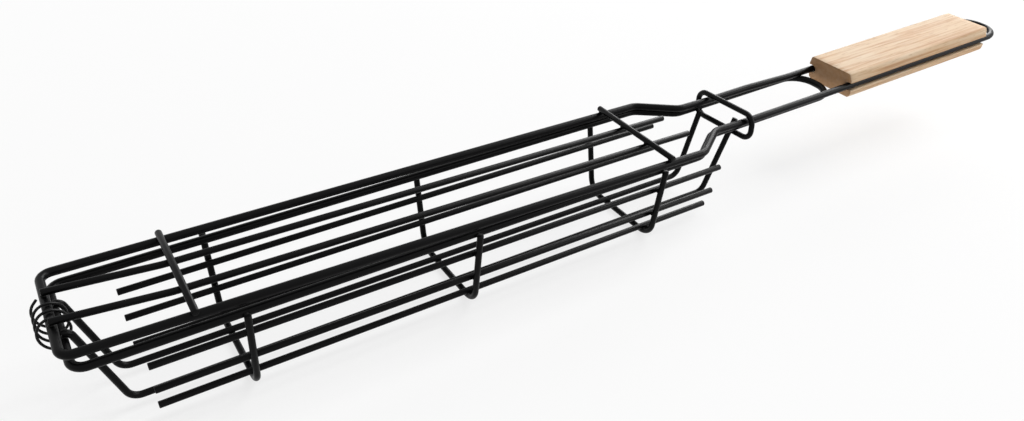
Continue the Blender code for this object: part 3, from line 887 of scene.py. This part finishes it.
bmesh.ops.triangulate(block, faces=[f for f in block.faces if len(f.verts) > 4])
handle_mesh = bpy.data.meshes.new("wood_handle_block")
block.to_mesh(handle_mesh)
block.free()
along = (handle_place.to_3x3() @ Vector((1, 0, 0))).normalized()
end_grain = handle_mesh.attributes.new("end_grain", "FLOAT", "FACE")
facing_ends = [float(abs(f.normal.dot(along)) > END_FACING) for f in handle_mesh.polygons]
end_grain.data.foreach_set("value", facing_ends)
handle_mesh.shade_smooth()
handle_mesh.set_sharp_from_angle(angle=HANDLE_SHARP_ANGLE)
handle = link_object("wood_handle_block", handle_mesh)
print(handle.name, "has", len(handle_mesh.polygons), "faces,", round(sum(facing_ends)), "of end grain")

# %% [markdown]
# Planed wood shows its grain as long soft streaks, and its pores as short dashes. A wave texture could
# draw the grain, but it looks too even, so both are noise stretched along the handle. Real pores are
# finer: they are drawn this wide so that they show.

# %% Grain pattern
STREAK_WIDTH_MM = 2.0
STREAK_LENGTH_MM = 55.0
PORE_WIDTH_MM = 0.75
PORE_LENGTH_MM = 6.5


def along_the_grain(tree, place, length_mm, width_mm, detail, distortion=0.0):
    """Noise stretched along the handle, from the length and width of one mark."""
    across = 1 / (width_mm * MM)
    stretched = add_node(tree, "ShaderNodeMapping", values={"Scale": (1 / (length_mm * MM), across, across)},
                         links={"Vector": place})
    noise = add_node(tree, "ShaderNodeTexNoise",
                     values={"Scale": 1.0, "Detail": detail, "Distortion": distortion},
                     links={"Vector": stretched.outputs["Vector"]})
    return noise.outputs["Fac"]


print("streaks are", round(STREAK_LENGTH_MM / STREAK_WIDTH_MM, 1), "times as long as wide")

# %% [markdown]
# The wood is pale hardwood, plain sawn, planed and left bare, so it is dull and peach-coloured, with
# darker streaks, warmer clouds and brown pores. A picture of wood could be wrapped round it, but a
# pattern made from noise runs through the whole block, as real grain does. End grain drinks up dirt,
# so the faces marked before mix towards brown.

# %% Bare pale hardwood
CLOUD_MM = 26.0
PORE_DEPTH_MM = 0.1
PORE_RELIEF = 0.25
GRAIN_COLOURS = [(0.32, "#b9916b"), (0.43, "#ccac8a"), (0.55, "#dac4a8"), (0.70, "#e4d3bd")]
WARM_TINT = "#f7e4cb"
PORE_COLOUR = "#ad8257"
PORE_AMOUNT = {"From Min": 0.58, "From Max": 0.76, "To Max": 0.6}
END_COLOUR = "#ba8c61"
END_AMOUNT = 0.8
WOOD_ROUGHNESS = {"To Min": 0.52, "To Max": 0.72}
WOOD_SPECULAR = 0.3
MIX_AMOUNT = 0
MIX_FIRST = 6
MIX_SECOND = 7
MIX_RESULT = 2


def bare_hardwood(name):
    """Pale straight-grained wood with streaks, pores and darker end grain."""
    material, tree = new_material(name)
    whole = add_node(tree, "ShaderNodeTexCoord").outputs["Object"]
    lay = Euler((0, math.atan(LID_NECK_RISE), -LID_TURN))
    laid = add_node(tree, "ShaderNodeMapping", values={"Rotation": lay}, links={"Vector": whole})
    place = laid.outputs["Vector"]
    streaks = along_the_grain(tree, place, STREAK_LENGTH_MM, STREAK_WIDTH_MM, detail=5.0, distortion=0.5)
    pores = along_the_grain(tree, place, PORE_LENGTH_MM, PORE_WIDTH_MM, detail=1.0)
    clouds = add_node(tree, "ShaderNodeTexNoise", values={"Scale": 1 / (CLOUD_MM * MM), "Detail": 2.0},
                      links={"Vector": place})
    grain = add_node(tree, "ShaderNodeValToRGB", links={"Fac": streaks})
    set_ramp(grain, GRAIN_COLOURS)
    warm = add_node(tree, "ShaderNodeMix", {"data_type": "RGBA", "blend_type": "MULTIPLY"},
                    {MIX_SECOND: linear(WARM_TINT)},
                    {MIX_AMOUNT: clouds.outputs["Fac"], MIX_FIRST: grain.outputs["Color"]})
    pore_mask = add_node(tree, "ShaderNodeMapRange", values=PORE_AMOUNT, links={"Value": pores})
    pored = add_node(tree, "ShaderNodeMix", {"data_type": "RGBA"}, {MIX_SECOND: linear(PORE_COLOUR)},
                     {MIX_AMOUNT: pore_mask.outputs["Result"], MIX_FIRST: warm.outputs[MIX_RESULT]})
    ends = add_node(tree, "ShaderNodeAttribute", {"attribute_name": "end_grain"})
    end_mask = add_node(tree, "ShaderNodeMath", {"operation": "MULTIPLY"}, {1: END_AMOUNT},
                        {0: ends.outputs["Fac"]})
    coloured = add_node(tree, "ShaderNodeMix", {"data_type": "RGBA"}, {MIX_SECOND: linear(END_COLOUR)},
                        {MIX_AMOUNT: end_mask.outputs["Value"], MIX_FIRST: pored.outputs[MIX_RESULT]})
    rough = add_node(tree, "ShaderNodeMapRange", values=WOOD_ROUGHNESS, links={"Value": streaks})
    relief = add_node(tree, "ShaderNodeBump",
                      values={"Strength": PORE_RELIEF, "Distance": PORE_DEPTH_MM * MM},
                      links={"Height": pores})
    shader = add_node(tree, "ShaderNodeBsdfPrincipled", values={"Specular IOR Level": WOOD_SPECULAR},
                      links={"Base Color": coloured.outputs[MIX_RESULT],
                             "Roughness": rough.outputs["Result"], "Normal": relief.outputs["Normal"]})
    add_node(tree, "ShaderNodeOutputMaterial", links={"Surface": shader.outputs["BSDF"]})
    return material


handle_mesh.materials.append(bare_hardwood("bare_pale_hardwood"))
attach(handle, "lid")
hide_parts("wood_handle")
print("wood:", handle_mesh.materials[0].name)

# %% [markdown]
# The photograph is a studio cut-out: white all round with only a trace of shade under the basket.
# A shadow-catching floor could be laid over white afterwards, but the picture has to come from one
# render. So the floor is matt white paper that catches that trace near the object and, by a glow of
# its own, turns plain white further out. Only the camera and reflections see the glow.

# %% White studio paper
GLOW_NEAR = 0.76
GLOW_NEAR_REACH = 0.25
GLOW_FULL_REACH = 1.0
WHITE = (1, 1, 1, 1)


def seen_or_reflected(tree):
    """One for rays from the camera and in reflections, nought for light on the object."""
    rays = add_node(tree, "ShaderNodeLightPath").outputs
    total = rays["Is Camera Ray"]
    for kind in ("Is Glossy Ray", "Is Transmission Ray"):
        larger = add_node(tree, "ShaderNodeMath", {"operation": "MAXIMUM"}, links={0: total, 1: rays[kind]})
        total = larger.outputs["Value"]
    return total


def glowing_paper(name):
    """Matt white paper that glows more and more away from the middle."""
    material, tree = new_material(name)
    matte = add_node(tree, "ShaderNodeBsdfDiffuse", values={"Color": linear("#fafafa")})
    glow = add_node(tree, "ShaderNodeEmission", values={"Color": WHITE, "Strength": 1.0})
    place = add_node(tree, "ShaderNodeTexCoord").outputs["Object"]
    away = add_node(tree, "ShaderNodeVectorMath", {"operation": "LENGTH"}, links={0: place})
    reach = add_node(tree, "ShaderNodeMapRange",
                     values={"From Min": GLOW_NEAR_REACH, "From Max": GLOW_FULL_REACH, "To Min": GLOW_NEAR},
                     links={"Value": away.outputs["Value"]})
    amount = add_node(tree, "ShaderNodeMath", {"operation": "MULTIPLY"},
                      links={0: seen_or_reflected(tree), 1: reach.outputs["Result"]})
    mixed = add_node(tree, "ShaderNodeMixShader",
                     links={0: amount.outputs["Value"], 1: matte.outputs["BSDF"],
                            2: glow.outputs["Emission"]})
    add_node(tree, "ShaderNodeOutputMaterial", links={"Surface": mixed.outputs["Shader"]})
    return material


STUDIO_PAPER = glowing_paper("white_studio_paper")
print("paper:", STUDIO_PAPER.name)

# %% [markdown]
# The floor itself is one wide square. Blender's plane operator could add it, but a mesh made from four
# points needs no selection. It lies a hair below the ground, because round wires reach a little lower
# than faceted ones.

# %% Floor
FLOOR_HALF = 6.0
FLOOR_DROP = 0.0002
floor_mesh = bpy.data.meshes.new("studio_floor")
floor_mesh.from_pydata([(-FLOOR_HALF, -FLOOR_HALF, 0), (FLOOR_HALF, -FLOOR_HALF, 0),
                        (FLOOR_HALF, FLOOR_HALF, 0), (-FLOOR_HALF, FLOOR_HALF, 0)], [], [(0, 1, 2, 3)])
floor = link_object("studio_floor", floor_mesh)
floor.location.z = -FLOOR_DROP
floor_mesh.materials.append(STUDIO_PAPER)
print("floor:", 2 * FLOOR_HALF, "m wide")

# %% [markdown]
# Behind the floor stands the world. A plain white one could light everything, but its light comes
# from all sides and would flatten the wires. So it is plain white to the camera and to reflections,
# and gives the object only a gentle fill.

# %% World
WORLD_LIGHT = 0.2
world = bpy.data.worlds.new("white_studio")
bpy.context.scene.world = world
world.use_nodes = True
sky_tree = world.node_tree
sky_tree.nodes.clear()
strength = add_node(sky_tree, "ShaderNodeMapRange", values={"To Min": WORLD_LIGHT, "To Max": 1.0},
                    links={"Value": seen_or_reflected(sky_tree)})
sky = add_node(sky_tree, "ShaderNodeBackground", values={"Color": WHITE},
               links={"Strength": strength.outputs["Result"]})
add_node(sky_tree, "ShaderNodeOutputWorld", links={"Surface": sky.outputs["Background"]})
print("the world fills with", WORLD_LIGHT, "of white")

# %% [markdown]
# The grey tops of the rear wires and the dark front of the handle show where the light was: beyond
# the handle, in a wide arch from behind it over to the near side. One long lamp could not bend round
# like that, so three soft square ones make the arch, about four metres away to light it evenly.

# %% Lamps
LAMP_AIM = Vector((0.05, 0.0, 0.03))
LAMP_SIZE = 1.9
LAMPS = {
    "softbox_behind": ((2.99, 2.20, 1.37), 80.0),
    "softbox_right": ((2.87, 0.20, 2.73), 116.0),
    "softbox_front": ((2.95, -2.18, 1.53), 52.0),
}


def add_lamp(name, place, power):
    """A square soft lamp that faces the basket."""
    data = bpy.data.lights.new(name, "AREA")
    data.size = LAMP_SIZE
    data.energy = power
    lamp = link_object(name, data)
    lamp.location = place
    lamp.rotation_euler = (LAMP_AIM - Vector(place)).to_track_quat("-Z", "Y").to_euler()
    return lamp


for name, (place, power) in LAMPS.items():
    lamp = add_lamp(name, place, power)
    print(lamp.name, round((lamp.location - LAMP_AIM).length, 1), "m away,", power, "W")

# %% [markdown]
# The camera could be placed by eye, but a few pixels of error show on long thin wires. So it was found
# by fitting the wires' lines to the photograph. It stands about 30 cm to the near side of the hinge and
# 23 cm above the rim, looks down at about 34 degrees, and its lens is fairly wide. Its place is in the
# working frame's millimetres.

# %% Camera
PHOTO_WIDTH = 1024
CAMERA_PLACE = Vector((11.20, -305.22, 227.41))
LOOK_YAW = math.radians(57.8746)
LOOK_DOWN = math.radians(34.1185)
CAMERA_ROLL = math.radians(0.8515)
FOCAL_PIXELS = 883.865
SENSOR_MM = 36.0
NEAREST_SEEN = 0.01
forward = Vector((math.cos(LOOK_YAW) * math.cos(LOOK_DOWN), math.sin(LOOK_YAW) * math.cos(LOOK_DOWN),
                  -math.sin(LOOK_DOWN)))
level_right = Vector((math.sin(LOOK_YAW), -math.cos(LOOK_YAW), 0))
level_up = level_right.cross(forward)
right = level_right * math.cos(CAMERA_ROLL) + level_up * math.sin(CAMERA_ROLL)
up = level_up * math.cos(CAMERA_ROLL) - level_right * math.sin(CAMERA_ROLL)
camera_data = bpy.data.cameras.new("photo_camera")
camera_data.sensor_width = SENSOR_MM
camera_data.lens = SENSOR_MM * FOCAL_PIXELS / PHOTO_WIDTH
camera_data.clip_start = NEAREST_SEEN
camera = link_object("photo_camera", camera_data)
camera_turn = Matrix((right, up, -forward)).transposed().to_4x4()
camera.matrix_world = Matrix.Translation((CAMERA_PLACE - ORIGIN) * MM) @ camera_turn
bpy.context.scene.camera = camera
print("lens", round(camera_data.lens, 2), "mm")

# %% [markdown]
# Last, the colours go to the screen as they are written. A filmic transform could soften the bright
# floor, but it would grey the white.

# %% Finish
bpy.context.scene.view_settings.view_transform = "Standard"
bpy.context.view_layer.update()
